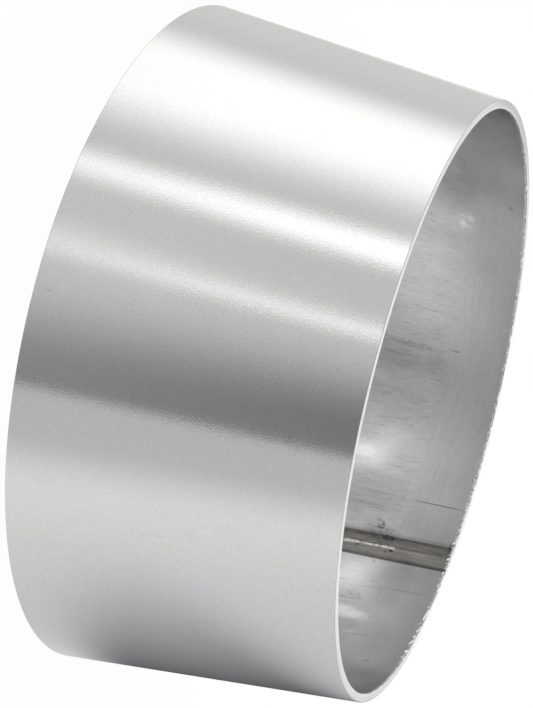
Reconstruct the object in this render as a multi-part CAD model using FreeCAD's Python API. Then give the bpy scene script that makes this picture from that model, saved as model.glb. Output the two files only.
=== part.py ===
"""Transition cone: a short tube reducer rolled from sheet and welded along one seam.

The large end stands on z = 0 and the small end faces up, on the axis +Z. Both ends are cut
square. The seam runs up the wall on the +X side. All sizes are in millimetres.
"""

import FreeCAD, Part
import math
import os

# Cone, to suit 4 1/2 in and 4 in tube
large_od = 114.3            # outside diameter of the large end
small_od = 101.6            # outside diameter of the small end
length = 50.8               # from one end face to the other, along the axis
sheet = 1.5                 # sheet thickness, measured square to the wall

# Edges of the two cut ends
outer_edge_chamfer = 0.20   # 45 degree chamfer that the belt leaves outside
inner_edge_chamfer = 0.12   # 45 degree chamfer from deburring the inside

# Seam, as it shows on the inner wall
strip_width = 5.3           # flat that is pressed along the seam, with a sharp edge each side
strip_sink = 0.02           # depth of the flat's middle below the rolled wall
bead_width = 1.0            # root bead, from toe to toe on the flat
bead_height = 0.30          # crest of a ripple above the flat
ripple_pitch = 1.25         # from one ripple of the bead to the next
ripple_depth = 0.09         # how much lower the bead is between two ripples

# Bands inside both ends, brushed after welding, where the bead is worked down
dressed_length = 11.0       # width of the band, from the end face
dressed_bead = 0.06         # height of the bead that is left above the rolled wall
dressed_run_out = 3.0       # length over which the bead then rises to full height

# Sizes that follow from those above
large_radius = large_od / 2
small_radius = small_od / 2
taper = (large_radius - small_radius) / length
half_angle = math.atan(taper)
radial_wall = sheet / math.cos(half_angle)
slant_length = length / math.cos(half_angle)
overrun = sheet             # how far a cutting tool runs past the face that it cuts

centre = FreeCAD.Vector(0, 0, 0)
axis = FreeCAD.Vector(0, 0, 1)


def inner_radius(z):
    """Radius of the rolled inner wall at height z."""
    return large_radius - radial_wall - taper * z


# Seam line up the inner wall: X runs along it from z = 0, and Z is square to the wall and
# points at the cone's axis
up_the_seam = FreeCAD.Vector(-math.sin(half_angle), 0, math.cos(half_angle))
inward = FreeCAD.Vector(-math.cos(half_angle), 0, -math.sin(half_angle))
seam = FreeCAD.Placement(
    FreeCAD.Vector(inner_radius(0), 0, 0),
    FreeCAD.Rotation(up_the_seam, inward.cross(up_the_seam), inward, "XZY"),
)


def turned(corners):
    """Solid turned about the cone's axis, from the (radius, height) corners of its section."""
    points = [FreeCAD.Vector(radius, 0, z) for radius, z in corners]
    outline = Part.makePolygon(points + points[:1])
    return Part.Face(outline).revolve(centre, axis, 360)


def rolled_wall():
    """Conical wall with square-cut ends and broken outer edges."""
    wall = turned([
        (large_radius, 0),
        (small_radius, length),
        (inner_radius(length), length),
        (inner_radius(0), 0),
    ])
    outer_edges = [
        edge for edge in wall.Edges
        if isinstance(edge.Curve, Part.Circle)
        and edge.Curve.Radius > inner_radius(edge.Curve.Center.z) + radial_wall / 2
    ]
    return wall.makeChamfer(outer_edge_chamfer, outer_edges)


def pressed_strip():
    """Block whose lower face is the flat along the seam."""
    corner = FreeCAD.Vector(-overrun, -strip_width / 2, -strip_sink)
    block = Part.makeBox(slant_length + 2 * overrun, strip_width, overrun, corner)
    block.Placement = seam
    return block


def root_bead():
    """Rippled weld metal: a scalloped rod sunk in the wall, flush with its outside.

    The rod's section is the circle through the crest and both toes of the bead. Its outline
    is a row of arcs, one for each ripple, turned about the rod's own centre line.
    """
    rod_radius = (bead_width ** 2 / 4 + bead_height ** 2) / (2 * bead_height)
    rod_depth = rod_radius - bead_height + strip_sink
    valley_radius = rod_radius - ripple_depth
    ripples = max(1, round(slant_length / ripple_pitch))
    pitch = slant_length / ripples

    def point(step, radius):
        return FreeCAD.Vector(step * pitch, 0, radius - rod_depth)

    scallops = [
        Part.Arc(
            point(step, valley_radius),
            point(step + 0.5, rod_radius),
            point(step + 1, valley_radius),
        ).toShape()
        for step in range(-1, ripples + 1)
    ]
    base = Part.makePolygon([
        point(ripples + 1, valley_radius),
        point(ripples + 1, 0),
        point(-1, 0),
        point(-1, valley_radius),
    ])
    outline = Part.Wire(scallops + base.Edges)
    rod = Part.Face(outline).revolve(point(0, 0), FreeCAD.Vector(1, 0, 0), 360)
    rod.Placement = seam
    return rod.common(Part.makeCone(large_radius, small_radius, length))


def dressing_tool(face_z, into):
    """Body that works the bead down from one end face; into is +1 or -1, along the axis."""
    start = face_z - into * overrun
    band_end = face_z + into * dressed_length
    run_out_end = band_end + into * dressed_run_out
    return turned([
        (0, start),
        (inner_radius(start) - dressed_bead, start),
        (inner_radius(band_end) - dressed_bead, band_end),
        (inner_radius(run_out_end) - bead_height, run_out_end),
        (0, run_out_end),
    ])


def deburring_tool(face_z, into):
    """Countersink that leaves the 45 degree chamfer inside one end face."""
    mouth = inner_radius(face_z) + inner_edge_chamfer
    return turned([
        (0, face_z - into * overrun),
        (mouth + overrun, face_z - into * overrun),
        (mouth - overrun, face_z + into * overrun),
        (0, face_z + into * overrun),
    ])


def cone_shell():
    """The whole part, one piece of welded sheet."""
    shell = rolled_wall().cut(pressed_strip()).fuse(root_bead())
    for face_z, into in ((0, 1), (length, -1)):
        shell = shell.cut(dressing_tool(face_z, into))
        shell = shell.cut(deburring_tool(face_z, into))
    return shell.removeSplitter()


shell = cone_shell()
print("cone_shell:", len(shell.Solids), "solid,", len(shell.Faces), "faces,",
      round(shell.Volume), "mm3, valid", shell.isValid())
os.makedirs("parts", exist_ok=True)
shell.exportStep("parts/cone_shell.step")
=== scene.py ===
# %% [markdown]
# # A transition cone in brushed stainless steel
#
# This lesson dresses one real object: a short cone that joins a 4 1/2 inch tube to a 4 inch
# tube. It was rolled from sheet, welded along one seam and brushed round the outside. The
# shape looks simple, so nearly all of the likeness comes from three things: an exact outline,
# a finish that reflects as brushed metal does, and a studio that gives it something to reflect.
#
# The frame holds the measured model. Everything below stays in that frame, in metres, with
# the large end on z = 0 and the weld seam on the +X side.

# %% Load the frame
import math

import bpy
import numpy as np
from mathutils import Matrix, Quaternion, Vector


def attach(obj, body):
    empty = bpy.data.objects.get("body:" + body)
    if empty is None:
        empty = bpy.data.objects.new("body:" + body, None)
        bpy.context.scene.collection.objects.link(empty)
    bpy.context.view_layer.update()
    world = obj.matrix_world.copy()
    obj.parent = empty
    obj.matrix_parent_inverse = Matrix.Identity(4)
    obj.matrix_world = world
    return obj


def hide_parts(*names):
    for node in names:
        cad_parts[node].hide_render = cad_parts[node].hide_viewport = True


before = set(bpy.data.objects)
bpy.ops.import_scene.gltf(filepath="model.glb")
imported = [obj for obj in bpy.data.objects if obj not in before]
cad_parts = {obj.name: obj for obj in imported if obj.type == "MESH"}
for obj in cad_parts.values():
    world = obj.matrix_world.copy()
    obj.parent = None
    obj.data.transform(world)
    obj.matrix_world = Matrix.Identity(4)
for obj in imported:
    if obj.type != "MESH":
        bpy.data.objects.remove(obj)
bpy.context.view_layer.update()
mm = 0.001

# %% [markdown]
# ## Measure the cone
#
# A number that the model already holds is better read from it than typed again. The radii at
# the two end faces come from the node's vertices there: the widest vertex on a face is on its
# outer edge and the narrowest on its inner edge. Both edges are broken, so the width of that
# break is added back.

# %% Radii, length and wall
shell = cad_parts["cone_shell"]
points = np.array([v.co for v in shell.data.vertices])
spread = np.hypot(points[:, 0], points[:, 1])
length = float(points[:, 2].max())
face_reach = 0.002 * mm
outer_break = 0.20 * mm
inner_break = 0.12 * mm


def face_radii(z):
    """Outer and inner radius of the cut face at height z, with its broken edges filled up."""
    on_face = abs(points[:, 2] - z) < face_reach
    return spread[on_face].max() + outer_break, spread[on_face].min() - inner_break


large_radius, large_bore = face_radii(0.0)
small_radius, small_bore = face_radii(length)
half_angle = math.atan((large_radius - small_radius) / length)
print(f"large end {large_radius / mm:.2f} mm, small end {small_radius / mm:.2f} mm,"
      f" length {length / mm:.2f} mm, rim {(small_radius - small_bore) / mm:.2f} mm,"
      f" half angle {math.degrees(half_angle):.2f} degrees")

# %% [markdown]
# ## One section, carried round the axis
#
# The whole part is a surface of two parameters: how far round the axis, and how far along
# the outline of the wall's section. A Spin or a Screw modifier could turn the same outline,
# but a grid of our own lets the rows and columns crowd together where detail is fine, such
# as at the weld, and stay wide where the wall is smooth. It also closes on itself both ways,
# so it has no open edge and no pole.
#
# The outline is four straight runs joined by four small arcs. A sharp edge on a model looks
# wrong in a close view: the thin bright line along a real rim is its broken edge catching
# the light.

# %% Crowded spacing
def crowded(count, start, stop, crowds):
    """count + 1 values from start to stop that stand closer together near some centres.

    The density is one plus a bell curve for each (centre, width, height). Its running sum is
    cut into equal shares, and the values are where the cuts fall.
    """
    fine = np.linspace(start, stop, 20001)
    density = np.ones_like(fine)
    for centre, width, height in crowds:
        density += height * np.exp(-((fine - centre) / width) ** 2)
    total = np.concatenate([[0], np.cumsum((density[1:] + density[:-1]) / 2)])
    return np.interp(np.linspace(0, total[-1], count + 1), total, fine)


seam_crowd = math.radians(3.6)
azimuth = crowded(340, -math.pi, math.pi, [(0, seam_crowd, 14)])[:-1]
print(f"{len(azimuth)} columns, from {np.degrees(np.diff(azimuth).min()):.2f}"
      f" to {np.degrees(np.diff(azimuth).max()):.2f} degrees apart")


# %% Outline of the wall
def corner_arc(corner, angle_in, angle_out, radius, steps=5):
    """Arc between two faces whose outward normals point at the two angles.

    Its centre lies one radius inside both faces: the corner, less the sum of the normals
    times the radius, over one plus the normals' dot product.
    """
    first, second = [np.array([math.cos(a), math.sin(a)]) for a in (angle_in, angle_out)]
    centre = np.array(corner) - radius * (first + second) / (1 + first @ second)
    turn = np.linspace(angle_in, angle_out, steps + 1)
    return centre + radius * np.stack([np.cos(turn), np.sin(turn)], 1), turn


corners = [(large_radius, 0), (small_radius, length), (small_bore, length), (large_bore, 0)]
normals = [-math.pi / 2, half_angle, math.pi / 2, math.pi + half_angle, 3 * math.pi / 2]
outer_round, inner_round = 0.07 * mm, 0.12 * mm
rounds = [outer_round, outer_round, inner_round, inner_round]
arcs = [corner_arc(corners[i], normals[i], normals[i + 1], rounds[i]) for i in range(4)]
run_rows = {"outer": 44, "top rim": 5, "inner": 190, "bottom rim": 5}

outline, tilt, zone = [], [], []
for i, (name, rows) in enumerate(run_rows.items()):
    arc, turn = arcs[i]
    start, stop = arc[-1], arcs[(i + 1) % 4][0][0]
    share = crowded(rows, 0, 1, [(0, 0.02, 12), (1, 0.02, 12)])[1:-1, None]
    outline += [arc, start + (stop - start) * share]
    tilt += [turn, np.full(rows - 1, turn[-1])]
    zone += ["outer edge" if i < 2 else "inner edge"] * (len(arc) - 1) + [name] * rows
outline, tilt = np.concatenate(outline), np.concatenate(tilt)
zone = np.array(zone)
print(len(outline), "rows:", {name: int((zone == name).sum()) for name in sorted(set(zone))})

# %% [markdown]
# ## What the weld and the rolling left behind
#
# The seam was welded over a backing bar and then pressed flat. Inside, that leaves a strip
# with two sharp edges, and a lumpy root bead down its middle. Near the end the bead has been
# worked down until only a faint line is left. All of this is real relief on the grid, because
# bump shading can't throw the bead's small shadow or change its outline at the rim.
#
# The rolls also leave the wall very slightly out of round. A few slow waves round the axis,
# a hundredth of a millimetre high, are enough to bend the edges of the reflections.

# %% Smooth random heights
def soft_noise(x, y, seed):
    """Random heights from -1 to 1 that change smoothly over one unit of x or y.

    Every whole-number corner has a random value, and a point blends the four round it with
    the weight 3t^2 - 2t^3 in each direction.
    """
    table = np.random.default_rng(seed).uniform(-1, 1, (128, 128))
    i, j = np.floor(x).astype(int), np.floor(y).astype(int)
    u, v = x - i, y - j
    u, v = u * u * (3 - 2 * u), v * v * (3 - 2 * v)
    low = table[i % 128, j % 128] * (1 - u) + table[(i + 1) % 128, j % 128] * u
    high = table[i % 128, (j + 1) % 128] * (1 - u) + table[(i + 1) % 128, (j + 1) % 128] * u
    return low * (1 - v) + high * v


def step(low, high, x):
    """0 below low, 1 above high, and a smooth rise between."""
    t = np.clip((x - low) / (high - low), 0, 1)
    return t * t * (3 - 2 * t)


def rolled_waves(around, height):
    """Height of the slow waves left by the rolls, in metres, never above zero."""
    waves = (0.5 * np.sin(5 * around + 0.7 + 9 * height) + 0.3 * np.sin(11 * around + 2.1)
             + 0.2 * np.sin(23 * around + 4.0 - 14 * height))
    return 0.008 * mm * (waves - 1)


# %% Relief of the seam
strip_width = 5.3 * mm
strip_sink = 0.02 * mm
bead_width = 1.0 * mm
bead_height = 0.30 * mm
dressed_length = 11.0 * mm
dressed_bead = 0.05 * mm


def bead_shape(across, height):
    """Height of the root bead above the strip, in metres.

    Its section is a parabola. Its middle wanders, and its width and height swell and shrink
    in lumps along the seam. Towards each end face it sinks to a faint line.
    """
    along = height / mm
    wander = 0.16 * mm * soft_noise(along / 5.5, along * 0, 3)
    lump = soft_noise(along / 1.1, along * 0, 4) + 0.5 * soft_noise(along / 0.45, along * 0, 5)
    width = bead_width * (0.82 + 0.22 * lump)
    crest = bead_height * (0.72 + 0.30 * lump)
    from_end = np.minimum(height, length - height)
    worked_down = step(dressed_length + 2 * mm, dressed_length - 1 * mm, from_end)
    crest = crest + (dressed_bead - crest) * worked_down
    section = np.clip(1 - (2 * (across - wander) / width) ** 2, 0, 1)
    return np.maximum(crest, 0.03 * mm) * section


def seam_relief(across, height, radius):
    """Height of the pressed strip and its bead above the rolled inner wall, in metres.

    The strip is a plane, sunk a little at its middle. The wall curves away from it, so it lies
    below the wall by the square of the distance from the seam over twice the radius. Just
    outside each edge runs a low lip, a bell curve in section, and on the plus side only a
    quarter of it is left.
    """
    half = strip_width / 2
    on_strip = step(half + 0.07 * mm, half - 0.07 * mm, abs(across))
    flat = -(across ** 2 / (2 * radius)) - strip_sink
    lip = 0.012 * mm * np.exp(-((abs(across) - half - 0.22 * mm) / (0.16 * mm)) ** 2)
    lip = lip * (1 - 0.75 * step(-1 * mm, 1 * mm, across))
    return on_strip * flat + lip + bead_shape(across, height) * on_strip


# %% Put the grid together
around = np.broadcast_to(azimuth, (len(outline), len(azimuth)))
radius = np.broadcast_to(outline[:, :1], around.shape)
height = np.broadcast_to(outline[:, 1:], around.shape)
lean = np.broadcast_to(tilt[:, None], around.shape)

inside = np.clip(-np.cos(lean) / math.cos(half_angle), 0, 1)
across = around * radius
relief = inside * seam_relief(across, height, radius) + rolled_waves(around, height) * abs(np.cos(lean))
bead = inside * bead_shape(across, height) / bead_height

reach = radius + relief * np.cos(lean)
raised = np.clip(height + relief * np.sin(lean), 0, length)
place = np.stack([reach * np.cos(around), reach * np.sin(around), raised], -1)
print("grid", place.shape[:2], "with", 2 * place.shape[0] * place.shape[1], "triangles")


# %% Make a mesh of a closed grid
def closed_grid(name, place, turns, height):
    """Mesh of quads over a grid that closes on itself along its rows and its columns.

    The UV map holds the share of a turn round the axis and the share of the height, and its
    last column reads one full turn, so that nothing jumps at the join.
    """
    rows, columns = place.shape[:2]
    row, column = np.divmod(np.arange(rows * columns), columns)
    next_row, next_column = (row + 1) % rows, (column + 1) % columns
    quads = np.stack([row * columns + column, row * columns + next_column,
                      next_row * columns + next_column, next_row * columns + column], 1)
    mesh = bpy.data.meshes.new(name)
    mesh.from_pydata(place.reshape(-1, 3), [], quads)
    share = np.append(turns, turns[0] + 1)
    u = np.stack([share[column], share[column + 1], share[column + 1], share[column]], 1)
    v = (height / length).ravel()[quads]
    mesh.uv_layers.new(name="turns_and_height")
    mesh.uv_layers[0].data.foreach_set("uv", np.stack([u, v], -1).astype(np.float32).ravel())
    mesh.polygons.foreach_set("use_smooth", np.ones(len(quads), bool))
    mesh.update()
    piece = bpy.data.objects.new(name, mesh)
    bpy.context.scene.collection.objects.link(piece)
    return piece


cone = closed_grid("welded_cone", place, azimuth / (2 * math.pi), height)
mark = cone.data.attributes.new("bead", "FLOAT", "POINT")
mark.data.foreach_set("value", bead.astype(np.float32).ravel())
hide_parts("cone_shell")
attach(cone, "root")

# %% [markdown]
# ## Slivers left by the file
#
# The inner edge was trimmed by hand, and nobody took off all of the burr. A few bright slivers
# still hang on the wall just inside the small end, beside the seam. Each one is a thin spindle
# whose first end is sunk in the wall and whose tip stands a little clear of it. A row below
# gives the angle from the seam and the height of both ends, then the largest radius, in
# degrees and millimetres.

# %% Burrs on the inner edge
burr_ends = np.array([
    (-12.9, 50.55, -13.8, 50.24, 0.06),
    (-13.7, 50.70, -17.7, 50.43, 0.17),
    (-18.2, 50.40, -19.2, 49.96, 0.05),
    (-20.0, 50.68, -21.6, 50.34, 0.14),
    (-22.5, 50.43, -23.5, 50.42, 0.19),
    (-24.0, 50.68, -26.1, 50.11, 0.12),
    (-28.0, 50.50, -29.1, 50.32, 0.21),
    (-30.1, 50.50, -31.5, 50.14, 0.05),
    (-6.6, 50.50, -7.4, 50.30, 0.06),
    (-3.0, 50.50, -3.9, 50.30, 0.08),
    (4.6, 50.60, 3.9, 50.10, 0.14),
    (0.5, 50.50, -0.2, 50.15, 0.18),
    (8.1, 50.55, 7.5, 50.35, 0.08),
    (12.9, 50.55, 12.2, 50.35, 0.09),
])


def on_inner_wall(degrees, height, clear):
    """Points that stand clear of the inner wall by a distance, in metres."""
    out = large_bore + (small_bore - large_bore) * height / length - clear
    turn = np.radians(degrees)
    return np.stack([out * np.cos(turn), out * np.sin(turn), height + 0 * turn], -1)


def spindles(first, last, girth, wall_side, along=7, sides=6):
    """Corners and faces of one closed spindle for each row of first and last.

    Its radius is girth times the square root of 4t(1 - t), with t from 0 at one tip to 1 at
    the other, and it is half as thick towards the wall as it is wide.
    """
    axis = last - first
    wide = np.cross(axis, wall_side)
    wide /= np.linalg.norm(wide, axis=1)[:, None]
    t = np.linspace(0, 1, along + 2)[1:-1]
    turn = np.arange(sides) * 2 * np.pi / sides
    ring = (np.cos(turn)[:, None] * wide[:, None, None]
            + 0.5 * np.sin(turn)[:, None] * wall_side[:, None, None])
    core = first[:, None] + axis[:, None] * t[:, None]
    body = core[:, :, None] + ring * (girth[:, None] * np.sqrt(4 * t * (1 - t)))[..., None, None]
    count = along * sides
    corners = np.concatenate([body.reshape(len(first), count, 3), first[:, None], last[:, None]], 1)
    row, side = np.divmod(np.arange(count - sides), sides)
    after = (side + 1) % sides
    skin = np.stack([row * sides + side, row * sides + after,
                     (row + 1) * sides + after, (row + 1) * sides + side], 1)
    faces = [[int(c) + n * (count + 2) for c in quad] for n in range(len(first)) for quad in skin]
    for n in range(len(first)):
        start = n * (count + 2)
        for s in range(sides):
            other = (s + 1) % sides
            faces.append([start + count, start + other, start + s])
            faces.append([start + count + 1, start + count - sides + s, start + count - sides + other])
    return corners.reshape(-1, 3), faces


sunk, stand_off = -0.03 * mm, 0.10 * mm
first = on_inner_wall(burr_ends[:, 0], burr_ends[:, 1] * mm, sunk)
last = on_inner_wall(burr_ends[:, 2], burr_ends[:, 3] * mm, stand_off)
middle = np.radians((burr_ends[:, 0] + burr_ends[:, 2]) / 2)
to_axis = -np.stack([np.cos(middle), np.sin(middle), 0 * middle], 1)
corners, faces = spindles(first, last, burr_ends[:, 4] * mm, to_axis)
burr_mesh = bpy.data.meshes.new("edge_burrs")
burr_mesh.from_pydata(corners, [], faces)
burr_mesh.polygons.foreach_set("use_smooth", np.ones(len(faces), bool))
burrs = bpy.data.objects.new("edge_burrs", burr_mesh)
bpy.context.scene.collection.objects.link(burrs)
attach(burrs, "root")
print(f"{len(burr_ends)} burrs, {np.linalg.norm(last - first, axis=1).max() / mm:.1f} mm at most")

# %% [markdown]
# ## Write shader sums as Python
#
# A finish needs a good deal of arithmetic, and wiring Math nodes one by one hides the idea.
# The small class below wraps one output of a node. Adding or multiplying two of them adds
# the Math node for it, so a mask reads as a formula. A number that is the same everywhere is
# worked out in Python and set on its socket. One method adds every other kind of node.

# %% Wires and finishes
class Wire:
    """An output of a node that can be added, multiplied and compared in Python."""

    def __init__(self, finish, socket):
        self.finish, self.socket = finish, socket

    def maths(self, operation, *operands):
        return self.finish.node("ShaderNodeMath", {"operation": operation}, *operands)

    def __add__(self, other):
        return self.maths("ADD", self, other)

    def __sub__(self, other):
        return self.maths("SUBTRACT", self, other)

    def __rsub__(self, other):
        return self.maths("SUBTRACT", other, self)

    def __mul__(self, other):
        return self.maths("MULTIPLY", self, other)

    def __truediv__(self, other):
        return self.maths("DIVIDE", self, other)

    def __abs__(self):
        return self.maths("ABSOLUTE", self)

    __radd__ = __add__
    __rmul__ = __mul__

    def sine(self):
        return self.maths("SINE", self)

    def at_most(self, limit):
        return self.maths("MINIMUM", self, limit)

    def at_least(self, limit):
        return self.maths("MAXIMUM", self, limit)

    def rise(self, low, high, to_low=0.0, to_high=1.0):
        """Smooth step from to_low at low to to_high at high, level outside them."""
        settings = {"interpolation_type": "SMOOTHSTEP"}
        return self.finish.node("ShaderNodeMapRange", settings, self, low, high, to_low, to_high)


class Finish:
    """A material whose nodes are added by formula."""

    def __init__(self, name):
        self.material = bpy.data.materials.new(name)
        self.material.use_nodes = True
        self.tree = self.material.node_tree
        self.shader = self.tree.nodes["Principled BSDF"]

    def node(self, kind, settings, *values, **named):
        """Adds a node: its settings first, then the values or wires of its inputs."""
        new = self.tree.nodes.new(kind)
        for name, value in settings.items():
            setattr(new, name, value)
        sockets = [s for s in new.inputs if s.enabled]
        pairs = list(zip(sockets, values)) + [(new.inputs[k], v) for k, v in named.items()]
        for socket, value in pairs:
            if isinstance(value, Wire):
                self.tree.links.new(value.socket, socket)
            else:
                socket.default_value = value
        return Wire(self, next(s for s in new.outputs if s.enabled))

    def place(self, x, y, z):
        """Object coordinates, each one scaled, to stretch a pattern along the others."""
        spot = self.node("ShaderNodeTexCoord", {})
        spot.socket = spot.socket.node.outputs["Object"]
        return self.node("ShaderNodeVectorMath", {"operation": "MULTIPLY"}, spot, (x, y, z))

    def wall_place(self):
        """Degrees round the axis and millimetres along it, from the UV map."""
        mapped = self.node("ShaderNodeUVMap", {"uv_map": "turns_and_height"})
        parts = self.node("ShaderNodeSeparateXYZ", {}, mapped).socket.node.outputs
        return Wire(self, parts["X"]) * 360.0, Wire(self, parts["Y"]) * (length / mm)

    def marks(self, degrees, height, ragged, places, edge=(1.0, 0.1)):
        """Sum of soft oval marks, each (degrees, height, half width, half height, strength).

        A mark fades with the sum of the squares of the two distances over their halves, from
        nothing at the first number of edge to full at the second. Noise added to that sum
        makes its edge ragged.
        """
        total = None
        for at, up, wide, tall, strength in places:
            sideways, upwards = (degrees - at) / wide, (height - up) / tall
            far = sideways * sideways + upwards * upwards + ragged
            one = far.rise(*edge) * strength
            total = one if total is None else total + one
        return total

    def tint(self, colour, level):
        """Colour times a level."""
        settings = {"operation": "SCALE"}
        return self.node("ShaderNodeVectorMath", settings, colour, Scale=level)

    def noise(self, spot, detail=2.0, roughness=0.5):
        """Noise from 0 to 1 over a scaled place, with cells about one unit wide."""
        return self.node("ShaderNodeTexNoise", {}, Vector=spot, Scale=1.0, Detail=detail,
                         Roughness=roughness)

    def blend(self, share, first, second):
        """Colour that goes from first to second as share goes from 0 to 1."""
        return self.node("ShaderNodeMix", {"data_type": "RGBA"}, share, first, second)

    def feed(self, **sockets):
        """Sets or links sockets of the shader; _ in a name stands for a space."""
        for name, value in sockets.items():
            socket = self.shader.inputs[name.replace("_", " ")]
            if isinstance(value, Wire):
                self.tree.links.new(value.socket, socket)
            else:
                socket.default_value = value


def grey(level, warmth=0.0):
    """Neutral colour of that level, a little warmer or cooler."""
    return (level * (1 + warmth), level, level * (1 - warmth), 1.0)


# %% [markdown]
# ## Brushed outside
#
# A belt ran round the cone, so its scratches are rings. Metal scratched one way reflects
# sharply along the scratches and spreads light across them, which is why every lamp turns
# into a long streak up the wall. Cycles has that as anisotropy: with no tangent given, it
# takes the direction round the object's own Z axis.
#
# The scratches themselves are far finer than a pixel. Noise that is squeezed along the axis
# gives their grain, and a bump of a hundredth of a millimetre breaks up the streaks' edges.

# %% Outer wall
outer = Finish("brushed_outside")
degrees, risen = outer.wall_place()
grain = outer.noise(outer.place(3000, 3000, 5200), detail=1.0, roughness=0.6)
hairlines = outer.noise(outer.place(500, 500, 4600), detail=2.0, roughness=0.6)
grit = outer.noise(outer.place(4400, 4400, 7400), detail=1.0)
clouds = outer.noise(outer.place(90, 90, 140), detail=2.0)

# %% Belt lines near the small end
belt_pitch, slant_pitch = 0.37, 0.62
belt_climb, slant_climb = -0.05, 0.623
near_small_end = risen.rise(30.0, 42.0)
wobble = outer.noise(outer.place(60, 60, 300), detail=1.0)
belt = ((risen + degrees * belt_climb) * (2 * math.pi / belt_pitch) + wobble * 22.0).sine()
belt_zone = degrees.rise(-158.0, -144.0) * degrees.rise(-106.0, -126.0) + 0.2
broken = outer.noise(outer.place(420, 420, 900), detail=2.0).rise(0.36, 0.62)
slanted = ((risen + degrees * slant_climb) * (2 * math.pi / slant_pitch) + wobble * 6.0).sine()
slant_patch = outer.marks(degrees, risen, wobble - 0.5, [(-140.6, 42.8, 3.0, 2.6, 0.45)])
lines = belt * near_small_end * belt_zone * broken + slanted * slant_patch

# %% Faint scuffs outside
scuffs = outer.marks(degrees, risen, (grain - 0.5) * 3.0, [
    (-148.1, 2.2, 0.35, 0.5, -0.10), (-148.9, 14.7, 0.25, 0.6, -0.07),
    (-150.5, 17.9, 2.4, 1.6, 0.025), (-113.2, 22.0, 0.5, 3.4, -0.03),
    (-114.8, 28.7, 1.6, 1.2, -0.035), (-119.3, 5.5, 0.7, 2.4, -0.03),
    (-114.9, 13.4, 0.6, 3.0, -0.03), (-167.5, 27.3, 0.3, 0.3, 0.06),
    (-97.6, 50.3, 0.4, 0.3, -0.15),
])
tone = 1.0 + 0.25 * (grain - 0.5) + 0.08 * (hairlines - 0.5) + 0.03 * (clouds - 0.5)
tone = tone + 0.036 * lines + scuffs
outer.feed(Base_Color=outer.tint((0.615, 0.613, 0.600), tone),
           Metallic=1.0, Roughness=0.20, Anisotropic=1.0, Anisotropic_Rotation=0.25)
outer.feed(Normal=outer.node("ShaderNodeBump", {}, Strength=1.0, Distance=0.010 * mm,
                             Height=grit + 0.3 * hairlines + 0.06 * lines))
print(f"{outer.material.name}: {len(outer.tree.nodes)} nodes")

# %% [markdown]
# ## Mill finish inside
#
# Inside, the sheet still has the finish of the rolling mill: dull clouds and fine streaks
# that run along the cone. Only the last 11 mm at each end were brushed after welding, in
# rings. Grease, heat and handling left marks, and painted highlights and painted shade stand
# in for what the wall mirrors. All are placed by their angle from the seam and their height.
# A mark is a soft oval whose edge is broken up by noise.

# %% Inner wall, patterns
inner = Finish("mill_inside")
degrees, risen = inner.wall_place()
half_length = length / mm / 2
from_end = half_length - abs(risen - half_length)
clouds = inner.noise(inner.place(170, 170, 120), detail=3.0, roughness=0.6) - 0.5
smears = inner.noise(inner.place(900, 900, 130), detail=3.0, roughness=0.65) - 0.5
streaks = inner.noise(inner.place(2600, 2600, 240), detail=2.0, roughness=0.6) - 0.5
rings = inner.noise(inner.place(150, 150, 2600), detail=2.0, roughness=0.6) - 0.5
fine = inner.noise(inner.place(2200, 2200, 2200), detail=2.0, roughness=0.6) - 0.5
dashes = inner.noise(inner.place(3100, 3100, 330), detail=1.0).rise(0.58, 0.72)
band_edge = dressed_length / mm
mill = (from_end + 2.5 * smears + 2.0 * clouds).rise(band_edge - 0.6, band_edge + 1.6)
mill_tone = 0.01 + 0.42 * clouds + 0.24 * smears + 0.22 * streaks - 0.15 * dashes
ring_tone = 0.20 * rings + 0.17 * clouds + 0.17 * fine - 0.03

# %% [markdown]
# Each row of the lists below is one mark: its angle from the seam in degrees, its height in
# millimetres, half its width and half its height in the same units, and its strength. Glow is
# painted highlight and shade is painted shade; both are wide and soft. Dirt and pale marks are
# small and ragged, and some of the pale marks are painted glints.

# %% Inner wall, pale marks and dirt, painted highlights and painted shade
pale_spots_and_glints = inner.marks(degrees, risen, fine * 1.6 + smears * 1.6, [
    # The first four pale marks, near 76 degrees, are a painted glint.
    (75.6, 38.6, 1.2, 0.9, 0.30), (77.4, 40.1, 1.1, 0.8, 0.28), (77.6, 38.5, 0.5, 1.2, 0.18),
    (75.2, 39.8, 0.6, 1.1, 0.16), (-24.8, 38.6, 0.6, 1.8, 0.12), (-34.3, 43.7, 0.6, 0.9, 0.20),
    (-15.3, 34.8, 0.3, 2.4, 0.25), (-25.6, 34.6, 0.5, 1.6, 0.16),
])
# Painted highlights: soft lighter places that stand in for light the wall mirrors.
glow = inner.marks(degrees, risen, smears * 1.4, [
    (-18.9, 35.4, 1.5, 3.0, 0.64), (-19.6, 39.2, 1.2, 1.6, 0.24), (-8.5, 33.5, 2.8, 2.6, 0.18),
    (20.5, 25.5, 2.6, 5.0, 0.36), (20.8, 27.2, 1.0, 2.0, 0.34), (22.5, 31.0, 3.4, 2.6, 0.12),
    (76.4, 39.2, 2.2, 1.9, 0.12), (113.0, 47.0, 8.0, 5.0, 0.14), (75.5, 34.5, 2.6, 3.5, 0.10),
    (10.8, 47.6, 5.0, 3.6, 0.13), (24.5, 33.5, 2.4, 3.4, 0.12),
], edge=(3.0, -0.5))
# Painted shade: soft darker places that stand in for darker surroundings the wall mirrors.
shade = inner.marks(degrees, risen, smears * 1.4, [
    (-7.0, 41.6, 6.5, 2.8, 0.22), (-27.0, 44.0, 5.0, 2.4, 0.12), (42.2, 30.5, 3.0, 5.5, 0.15),
    (84.5, 36.4, 4.0, 3.2, 0.14), (93.0, 42.0, 6.0, 4.0, 0.12), (2.9, 50.2, 1.0, 0.5, 0.5),
    (12.5, 30.0, 3.6, 6.0, 0.14), (3.5, 35.4, 1.3, 3.2, 0.28),
], edge=(3.0, -0.5))
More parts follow.
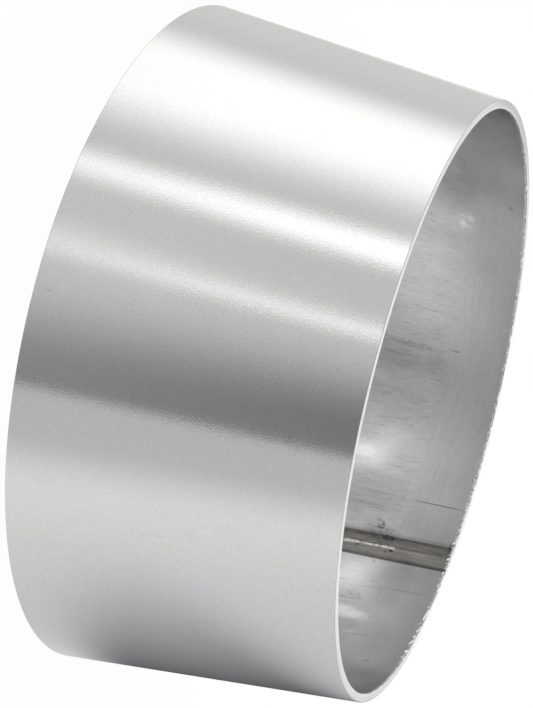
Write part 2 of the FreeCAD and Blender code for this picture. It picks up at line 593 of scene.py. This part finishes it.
dirt_and_shade = inner.marks(degrees, risen, fine * 2.4 + smears, [
    (45.3, 31.0, 0.8, 7.5, 0.22), (46.1, 40.3, 0.30, 1.4, 0.40), (42.8, 30.0, 0.30, 6.0, 0.20),
    (42.0, 38.0, 3.4, 3.4, 0.10), (53.6, 35.0, 0.25, 6.0, 0.14), (9.5, 32.0, 0.28, 4.5, 0.20),
    (14.0, 29.0, 0.3, 2.4, 0.16), (83.3, 47.6, 0.5, 0.5, 0.26), (107.7, 42.5, 0.35, 0.35, 0.26),
    (99.1, 41.2, 0.35, 0.35, 0.26), (87.6, 46.3, 0.3, 0.3, 0.20), (82.7, 48.1, 0.3, 0.5, 0.30),
    (-35.1, 44.9, 0.5, 0.9, 0.50), (-19.2, 41.0, 0.4, 0.45, 0.26), (-18.4, 36.7, 0.35, 0.4, 0.30),
    # On the next row the first mark is painted shade, not dirt.
    (-14.2, 35.6, 1.3, 3.2, 0.20), (-25.4, 40.9, 0.5, 1.7, 0.12), (-41.0, 45.6, 4.5, 2.6, 0.14),
    (5.9, 48.2, 0.28, 0.28, 0.28), (6.5, 47.3, 0.3, 0.35, 0.20), (-3.9, 37.0, 0.4, 0.4, 0.40),
])
scratches = inner.marks(degrees, risen, 0.0, [
    (12.3, 45.2, 0.20, 6.4, 0.55), (-10.2, 45.8, 0.18, 4.8, 0.28), (12.4, 33.0, 0.16, 6.0, 0.22),
])
fibres = inner.noise(inner.place(3400, 3400, 520), detail=2.0).rise(0.40, 0.62)
dirt_and_shade = dirt_and_shade * (0.25 + 1.1 * fibres)
dull_block = degrees.rise(7.6, 9.2) * degrees.rise(18.0, 15.5)
dull_block = dull_block * (risen + 2.0 * smears).rise(39.0, 38.0)

# %% [markdown]
# The seam is worked out from the distance to its middle line, in millimetres. Its pressed
# strip is dull and dark. Painted shade along its edges shows as a soft dark line on one side
# and a crisp one on the other. The bead's crest gets a painted highlight, which gaps break
# up, and in the end bands only a thin light line is left of it. Soot and pits lie beside the
# bead.

# %% Inner wall, seam
bore = (large_bore + (small_bore - large_bore) * risen / (length / mm)) / mm
across = degrees * bore * (math.pi / 180)
aside = abs(across)
half_strip = strip_width / mm / 2
on_strip = aside.rise(half_strip + 0.14, half_strip - 0.14)
plus_side = across.rise(-0.2, 0.2)
# Painted shade along the strip's edges: soft on the plus side, crisp on the other, and darker towards
# the small end.
soft_line = aside.rise(1.4, 2.5) * aside.rise(3.6, 2.6) * plus_side
crisp_line = aside.rise(1.7, 2.42) * aside.rise(3.0, 2.6) * (1 - plus_side)
darker_up = risen.rise(32.0, 47.0, 0.70, 1.0)
lower_end = risen.rise(41.0, 36.0, 0.0, 0.09)
painted_edge_shade = (0.40 * soft_line + 0.60 * crisp_line * darker_up) * (1.0 + 0.5 * fine)
crown = inner.node("ShaderNodeAttribute", {"attribute_name": "bead"})
crown.socket = crown.socket.node.outputs["Fac"]
gaps = inner.noise(inner.place(900, 900, 1500), detail=2.0).rise(0.36, 0.50)
# Painted highlight on the bead's crest, broken up by gaps.
crest = crown.rise(0.13, 0.42) * (0.25 + 0.75 * gaps)
thin_line = aside.rise(0.45, 0.08) * (1 - crest) * risen.rise(50.0, 47.0, 0.25, 1.0)
thin_line = thin_line * (0.3 + 0.7 * gaps)
specks = inner.noise(inner.place(2600, 2600, 2600), detail=2.0, roughness=0.6).rise(0.50, 0.64)
soot = inner.marks(degrees, risen, fine * 1.5, [
    (2.3, 37.3, 1.7, 3.6, 0.55), (1.3, 34.2, 0.5, 1.0, 0.6), (0.9, 36.4, 0.45, 0.8, 0.7),
    (3.6, 34.6, 0.9, 1.8, 0.5), (-2.4, 33.6, 0.6, 2.6, 0.25), (5.3, 35.4, 1.5, 1.3, 0.75),
    (4.5, 33.8, 0.9, 1.0, 0.6), (6.4, 34.6, 0.6, 0.7, 0.5), (4.4, 37.0, 0.7, 1.6, 0.4),
]) * specks
pits = inner.marks(degrees, risen, fine * 1.5, [
    (-0.55, 39.3, 0.4, 0.65, 0.85), (-1.0, 38.3, 0.3, 0.4, 0.5), (-0.5, 32.6, 0.35, 0.5, 0.5),
    (2.4, 38.0, 1.0, 1.7, 0.35),
])
soot = (soot + pits).at_most(0.9)
strip_tone = on_strip * (1.0 + 0.8 * (smears + streaks)) * (-0.43 - 0.13 * plus_side - lower_end)

# %% Inner wall, put together
# Glow adds the painted highlights here, and shade below takes away the painted shade.
tone = 1.0 + ring_tone * (1 - mill) + mill_tone * mill + pale_spots_and_glints + glow - 0.07 * dull_block
tone = tone * (1 - dirt_and_shade) * (1 - scratches) * (1 - shade) * (1.0 + strip_tone + 0.16 * thin_line)
tone = tone * (1 - painted_edge_shade)
# Painted glints on the burr just inside the small end, heavier near the seam.
heavy_burr = degrees.rise(-9.0, -2.0) * degrees.rise(24.0, 12.0)
torn = inner.noise(inner.place(1400, 1400, 1400), detail=2.0, roughness=0.6) - 0.5
rim_burr_glints = (risen + 1.4 * fine + (0.1 + 1.4 * torn) * heavy_burr).rise(50.35, 50.6)
# The crest gets its painted highlight and the burr its painted glints, both lighter than any metal
# colour.
tone = tone + (1.35 - tone) * crest + (1.5 - tone) * rim_burr_glints * 0.8
tone = tone * (1 - soot)
straw = (on_strip + soot + dirt_and_shade * 0.8).at_most(1.0)
steel = inner.blend(straw, (0.620, 0.616, 0.608, 1), (0.640, 0.615, 0.575, 1))
inner.feed(Base_Color=inner.tint(steel, tone), Metallic=1 - 0.6 * rim_burr_glints - 0.35 * crest,
           Roughness=0.27 + 0.05 * clouds + 0.10 * on_strip * (1 - crest) - 0.03 * (1 - mill))
mill_relief = (0.8 * streaks + fine) * mill
ring_relief = (0.5 * rings + 0.4 * fine) * (1 - mill)
inner.feed(Normal=inner.node("ShaderNodeBump", {}, Strength=1.0, Distance=0.008 * mm,
                             Height=mill_relief + ring_relief))
print(f"{inner.material.name}: {len(inner.tree.nodes)} nodes")

# %% [markdown]
# ## Cut ends
#
# The ends were cut and faced, so they are the brightest metal on the part. They are not equally
# bright all round: one stretch is duller towards its outer edge, and the far stretch, away from
# the camera, gets a painted highlight. The outer edge is painted darker, a painted dark
# reflection along its break, and the inner edge shows specks of burr with painted glints.
#
# The slivers have a finish of their own. Torn metal has facets far smaller than a pixel that
# glint on every side. A plain pale surface with a faint glow stands in for them.

# %% Rims
rim = Finish("cut_rim")
z_part = rim.node("ShaderNodeSeparateXYZ", {}, rim.place(1000, 1000, 1000)).socket.node.outputs["Z"]
bore = (large_bore + (small_bore - large_bore) * (Wire(rim, z_part) * mm) / length) / mm
reach_out = rim.node("ShaderNodeVectorMath", {"operation": "LENGTH"}, rim.place(1000, 1000, 0))
reach_out.socket = reach_out.socket.node.outputs["Value"]
from_bore = reach_out - bore
facing = rim.noise(rim.place(700, 700, 700), detail=3.0, roughness=0.7) - 0.5
degrees, risen = rim.wall_place()
dulled = degrees.rise(82.0, 112.0) * degrees.rise(150.0, 130.0)
well_faced = (1 - dulled) * (1 - degrees.rise(-100.0, -80.0) * degrees.rise(-15.0, -35.0))
tone = 1.0 + 0.16 * facing + 0.09 * from_bore.rise(0.55, 0.25) - 0.10 * from_bore.rise(1.15, 1.4)
# Painted highlight: the stretch of rim away from the camera is made lighter.
far_stretch_highlight = degrees.rise(-35.0, -15.0) * degrees.rise(150.0, 130.0)
tone = tone + well_faced * (0.06 + 0.11 * far_stretch_highlight) - dulled * from_bore.rise(0.1, 0.9, 0.08, 0.24)
rim.feed(Base_Color=rim.tint((0.735, 0.735, 0.735), tone), Metallic=1.0,
         Roughness=0.26 + 0.10 * facing)
print(f"{rim.material.name}: {len(rim.tree.nodes)} nodes")

# %% Edges and burrs
# The outer edge is painted darker, a painted dark reflection along its break.
dark_edge_finish = Finish("painted_dark_edge")
wear = dark_edge_finish.noise(dark_edge_finish.place(900, 900, 900), detail=2.0)
dark_edge_finish.feed(Base_Color=dark_edge_finish.blend(wear, grey(0.46), grey(0.60)), Metallic=1.0,
               Roughness=0.34)

burr_metal = Finish("burr_with_painted_glints")
degrees, risen = burr_metal.wall_place()
heavy = degrees.rise(-12.0, -6.0) * degrees.rise(30.0, 16.0)
torn = burr_metal.noise(burr_metal.place(1100, 1100, 1100), detail=2.0, roughness=0.6)
# Specks of burr on the inner edge, painted as glints in a near-white colour that is not metal.
bright = (torn + 0.12 * heavy).rise(0.54, 0.62)
burr_metal.feed(Base_Color=burr_metal.blend(bright, grey(0.50), grey(0.98)),
                Metallic=1 - 0.8 * bright, Roughness=0.30)

sliver = Finish("torn_sliver")
crumpled = sliver.noise(sliver.place(2500, 2500, 2500), detail=1.0)
sliver.feed(Base_Color=sliver.blend(crumpled, grey(0.92), grey(1.0)), Metallic=0.0, Roughness=0.35,
            Emission_Color=grey(1.0), Emission_Strength=0.15)
burrs.data.materials.append(sliver.material)

# %% Give each face its finish
finishes = {"outer": outer, "inner": inner, "top rim": rim, "bottom rim": rim,
            "outer edge": dark_edge_finish, "inner edge": burr_metal}
worn = [outer, inner, rim, dark_edge_finish, burr_metal]
for finish in worn:
    cone.data.materials.append(finish.material)
slot_of_row = np.array([worn.index(finishes[name]) for name in zone])
slot_of_face = np.repeat(slot_of_row, len(azimuth)).astype(np.int32)
cone.data.polygons.foreach_set("material_index", slot_of_face)
print("faces of each finish:", dict(zip([f.material.name for f in worn], np.bincount(slot_of_face))))

# %% [markdown]
# ## Camera
#
# The photograph was fitted with a cone and a pinhole camera. The camera stands beside the
# part, a little above the small end, with a long lens, and is rolled by about a quarter turn.

# %% Camera
picture_height = 708
focal_pixels = 2003
sensor_width = 36
camera_azimuth = math.radians(-145.6)
camera_out = 325.9 * mm
camera_height = 120.0 * mm
aim_height = 19.3 * mm
aim_side = -1.08 * mm
camera_roll = math.radians(103.7)

to_camera = np.array([math.cos(camera_azimuth), math.sin(camera_azimuth), 0])
sideways = np.array([-math.sin(camera_azimuth), math.cos(camera_azimuth), 0])
up = np.array([0, 0, 1])
eye = to_camera * camera_out + up * camera_height
aim = sideways * aim_side + up * aim_height

lens = bpy.data.cameras.new("camera")
lens.sensor_width = sensor_width
lens.lens = focal_pixels / picture_height * sensor_width
lens.clip_start, lens.clip_end = 0.01, 20
camera = bpy.data.objects.new("camera", lens)
bpy.context.scene.collection.objects.link(camera)
look = Vector(aim - eye).to_track_quat("-Z", "Y")
camera.rotation_mode = "QUATERNION"
camera.rotation_quaternion = look @ Quaternion((0, 0, 1), camera_roll)
camera.location = eye
bpy.context.scene.camera = camera
print(f"lens {lens.lens:.1f} mm, {np.linalg.norm(aim - eye) / mm:.0f} mm from the point it aims at")

# %% [markdown]
# ## Studio
#
# Brushed metal has hardly a colour of its own: it shows its surroundings. Lamps alone would
# leave it black between the lamps, so photographers put such parts in a tent of white cloth,
# with brighter and darker places. This tent is a ball of light round the part. Each of its
# points glows by a formula of its bearing from the camera and its height, worked out on the
# grid and stored as a colour. Only mirror-like rays see it, so it can't wash out the floor.
# The colour's alpha is the share that the cloth covers, and the rest lets light through.

# %% Glowing surfaces
def grid_quads(rows, columns, closed):
    """Corner numbers of the quads of a grid; closed joins the last column to the first."""
    row, column = np.divmod(np.arange((rows - 1) * (columns - (not closed))), columns - (not closed))
    after = (column + 1) % columns
    here, above = row * columns, (row + 1) * columns
    return np.stack([here + column, here + after, above + after, above + column], 1)


def glowing(name, place, quads, level, tint, cover=1.0):
    """Makes a stage piece that glows with level times tint at each point.

    cover is the share of the glow that is seen there: 1 hides what is behind, 0 shows it.
    """
    mesh = bpy.data.meshes.new(name)
    mesh.from_pydata(place.reshape(-1, 3), [], quads)
    colour = np.ones((level.size, 4), np.float32)
    colour[:, :3] = level.reshape(-1, 1) * np.reshape(tint, (-1, 3))
    colour[:, 3] = np.ravel(cover)
    glow = mesh.attributes.new("glow", "FLOAT_COLOR", "POINT")
    glow.data.foreach_set("color", colour.ravel())
    mesh.materials.append(lit_cloth.material)
    piece = bpy.data.objects.new(name, mesh)
    bpy.context.scene.collection.objects.link(piece)
    for rays in ("camera", "diffuse", "shadow", "transmission", "volume_scatter"):
        setattr(piece, "visible_" + rays, False)
    print(f"{name}: {len(quads)} quads, light level {level.min():.2f} to {level.max():.2f}")


lit_cloth = Finish("lit_cloth")
lit_cloth.tree.nodes.remove(lit_cloth.shader)
stored = lit_cloth.node("ShaderNodeAttribute", {"attribute_name": "glow"})
share_covered = Wire(lit_cloth, stored.socket.node.outputs["Alpha"])
shine = lit_cloth.node("ShaderNodeEmission", {}, stored, 1.0)
see_through = lit_cloth.node("ShaderNodeBsdfTransparent", {}, grey(1.0))
woven = lit_cloth.node("ShaderNodeMixShader", {}, share_covered, see_through, shine)
lit_cloth.tree.links.new(woven.socket, lit_cloth.tree.nodes["Material Output"].inputs["Surface"])
lit_cloth.material.cycles.emission_sampling = "NONE"


def band(x, low, high, soft, soft_high=None):
    """1 between low and high, with soft edges whose middles lie on low and high."""
    soft_high = soft_high or soft
    return step(low - soft, low + soft, x) * (1 - step(high - soft_high, high + soft_high, x))


# %% [markdown]
# Bearings below are in degrees, from 0 at the camera to 180 behind the part, and negative
# towards the top of the picture. Heights are in millimetres. The outside mirrors the belt of
# the tent round the part: a pale cloth with one broad white sheet, two narrow bright strips
# and a dark opening. The rim and the inner wall mirror what is behind, above and below.

# %% Places on the tent
tent_radius = 0.30
tilt_up = np.linspace(-math.pi / 2, math.pi / 2, 241)[:, None]
turn = np.linspace(-180, 180, 481)[None, :-1]
front = np.cos(np.radians(turn)) * np.cos(tilt_up)
side = np.sin(np.radians(turn)) * np.cos(tilt_up)
high = np.sin(tilt_up) + 0 * turn
ball = (front[..., None] * to_camera + side[..., None] * sideways + high[..., None] * up) * tent_radius
bearing = turn + 0 * tilt_up
rise_mm = high * tent_radius / mm
upper = np.clip((rise_mm + 40) / 80, 0, 1)

# %% Light round the part
cloth = 0.87 + 0.05 * (1 - 2 * upper) * band(bearing, -38, 8, 5) - 0.11 * step(-125, -150, bearing)
white_sheet = (0.86 - 0.04 * upper) * band(bearing, -102, -63.8 - 1.6 * upper, 11, 11.5)
strip = (0.71 + 0.41 * upper) * step(3.0, -3.0, abs(bearing + 43.7) - 3.2 - 1.6 * upper ** 1.3)
thin_edge = 2.2 - 0.7 * upper
from_thin = abs(bearing + 20.8 - 4.5 * upper ** 0.6) - 4.7 + 3.1 * upper ** 0.5
thin_strip = (0.30 + 0.66 * upper) * step(thin_edge, -thin_edge, from_thin)
dark_room = (0.465 + 0.175 * upper) * step(-14, 21 - 8 * upper, bearing) * step(30, 22, bearing)
round_the_part = cloth + white_sheet + strip + thin_strip - dark_room

# %% Light under, behind and above the part
under_the_part = (0.60 + 0.20 * band(bearing, 32, 92, 8) - 0.16 * band(bearing, 0, 30, 8)
                  - 0.22 * step(95, 110, bearing))
behind_low = 1.08 - 0.58 * step(166, 173, abs(bearing))
behind_far = (0.60 + 0.46 * step(171.5, 174.5, abs(bearing)) + 0.18 * step(0, 1, bearing)
              + 0.28 * step(-166, -170, bearing)
              + 0.42 * step(163, 167, bearing) * step(174.5, 171.5, bearing))
behind_near = 1.16 + 0.08 * step(0, -1, bearing)
behind_high = behind_far + (behind_near - behind_far) * step(114, 124, rise_mm)
behind_the_part = behind_low + (behind_high - behind_low) * step(75, 95, rise_mm)
overhead = 0.50

# %% Tent
level = round_the_part
level = level + (behind_the_part - level) * step(149, 155, abs(bearing))
level = level + (under_the_part - level) * step(-98, -118, rise_mm)
level = level + (overhead - level) * step(138, 190, rise_mm)
full_tint = 0.6
cool_light = np.clip((strip + thin_strip) / full_tint, 0, 1)[..., None] * np.array([0, 0, 0.035])
warm_light = np.clip(dark_room / full_tint, 0, 1)[..., None] * np.array([0.02, 0, -0.015])
quads = grid_quads(*bearing.shape, closed=True)[:, ::-1]
glowing("light_tent", ball, quads, level, 1 + cool_light + warm_light)

# %% [markdown]
# Two pale sheets stand nearer than the tent. One leans along the cone's flank, which mirrors
# it up to a sharp line where the sheet ends. A soft dark patch where the two nearly touch
# stands for the cone's own shadow on it. Behind the part that sheet thins out, so that it
# doesn't show as a hard edge from other sides. The other lies under the large end, and the
# inner wall mirrors its lighter and darker places.

# %% Sheet beside the flank
reach_mm, up_mm = np.meshgrid(np.linspace(-40, 180, 441), np.linspace(-150, 200, 176))
lean_out = large_radius + 0.2 * mm - up_mm * mm * math.tan(half_angle)
board_place = (reach_mm[..., None] * mm * to_camera + lean_out[..., None] * sideways
               + up_mm[..., None] * mm * up)
board = 0.73 + 0.34 * step(97, 68, reach_mm + 0.1 * up_mm) - 0.25 * step(68, 18, reach_mm)
shadow_low = step(-2, 12 + 0.15 * reach_mm, up_mm)
shadow_high = step(69 - 0.76 * reach_mm, 47 - 0.76 * reach_mm, up_mm)
contact_shadow = 0.88 * np.exp(-(reach_mm / 29) ** 2) * shadow_low * shadow_high
board = board * (1 - contact_shadow)
sheet_end = 149.0 - 0.34 * up_mm
beyond = 0.33 - 0.06 * step(-20, 50, up_mm)
board = board + (beyond - board) * step(sheet_end - 1.5, sheet_end + 1.5, reach_mm)
board = board + (0.87 - board) * step(4, -14, reach_mm)
covering = np.maximum(step(3, 4.5, reach_mm), step(52, 48, up_mm) * step(-38, -12, reach_mm))
lilac = step(60, 35, reach_mm)[..., None]
board_tint = 1 + lilac * np.array([0.02, 0.0, 0.05])
quads = grid_quads(*reach_mm.shape, closed=False)
glowing("leaning_sheet", board_place, quads, board, board_tint, covering)


# %% Sheet under the large end
def bell(centre, radii):
    """Bell curve round a centre, over the sheet's distances towards the camera and sideways."""
    return np.exp(-((front_mm - centre[0]) / radii[0]) ** 2 - ((side_mm - centre[1]) / radii[1]) ** 2)


ring_mm = np.linspace(0.1, 55, 56)[:, None]
ring_turn = np.linspace(0, 2 * np.pi, 181)[None, :-1]
front_mm, side_mm = ring_mm * np.cos(ring_turn), ring_mm * np.sin(ring_turn)
under_drop = 2.0 * mm
under_place = (front_mm[..., None] * mm * to_camera + side_mm[..., None] * mm * sideways
               - under_drop * up)
under = (0.56 + 1.25 * bell((-27, -42), (11, 13)) + 1.25 * bell((2, -15), (8, 6))
         + 0.34 * bell((24, -24), (16, 11)) - 0.40 * bell((8, 8), (18, 8))
         + 0.66 * bell((-6, 31), (24, 15)) + 0.05 * step(35, 55, front_mm))
quads = grid_quads(*front_mm.shape, closed=True)[:, ::-1]
glowing("under_sheet", under_place, quads, under, (1.0, 1.0, 1.0))

# %% [markdown]
# ## Floor and air
#
# The floor is a sheet of white paper. A camera ray sees mostly its own white, so that it is
# pale without more light on the part, and the small rest is lit paper that keeps the part's
# shadow. It is hidden from mirror-like rays, so the metal mirrors the tent and its sheets and
# not the paper. The air is plain white light at strength 1.

# %% Floor
floor_half = 4.0
floor_drop = 0.05 * mm
own_white = 0.92
mesh = bpy.data.meshes.new("floor")
mesh.from_pydata([(x * floor_half, y * floor_half, -floor_drop)
                  for x, y in ((-1, -1), (1, -1), (1, 1), (-1, 1))], [], [(0, 1, 2, 3)])
floor = bpy.data.objects.new("floor", mesh)
bpy.context.scene.collection.objects.link(floor)
paper = Finish("white_floor")
paper.feed(Base_Color=grey(0.98), Roughness=0.9)
paths = paper.tree.nodes.new("ShaderNodeLightPath")
white = paper.node("ShaderNodeEmission", {}, grey(1.0), 1.0)
seen = Wire(paper, paths.outputs["Is Camera Ray"])
seen = seen.at_least(Wire(paper, paths.outputs["Is Glossy Ray"]))
seen = seen.at_least(Wire(paper, paths.outputs["Is Transmission Ray"]))
lit_paper = Wire(paper, paper.shader.outputs[0])
shown = paper.node("ShaderNodeMixShader", {}, seen * own_white, lit_paper, white)
paper.tree.links.new(shown.socket, paper.tree.nodes["Material Output"].inputs["Surface"])
floor.data.materials.append(paper.material)
floor.visible_glossy = False
print(f"floor {2 * floor_half:.0f} m wide, {own_white:.0%} its own white to the camera")

# %% World
world = bpy.data.worlds.new("studio_air")
bpy.context.scene.world = world
world.use_nodes = True
world.node_tree.nodes["Background"].inputs["Color"].default_value = (1, 1, 1, 1)
world.node_tree.nodes["Background"].inputs["Strength"].default_value = 1.0
bpy.context.scene.view_settings.view_transform = "Standard"
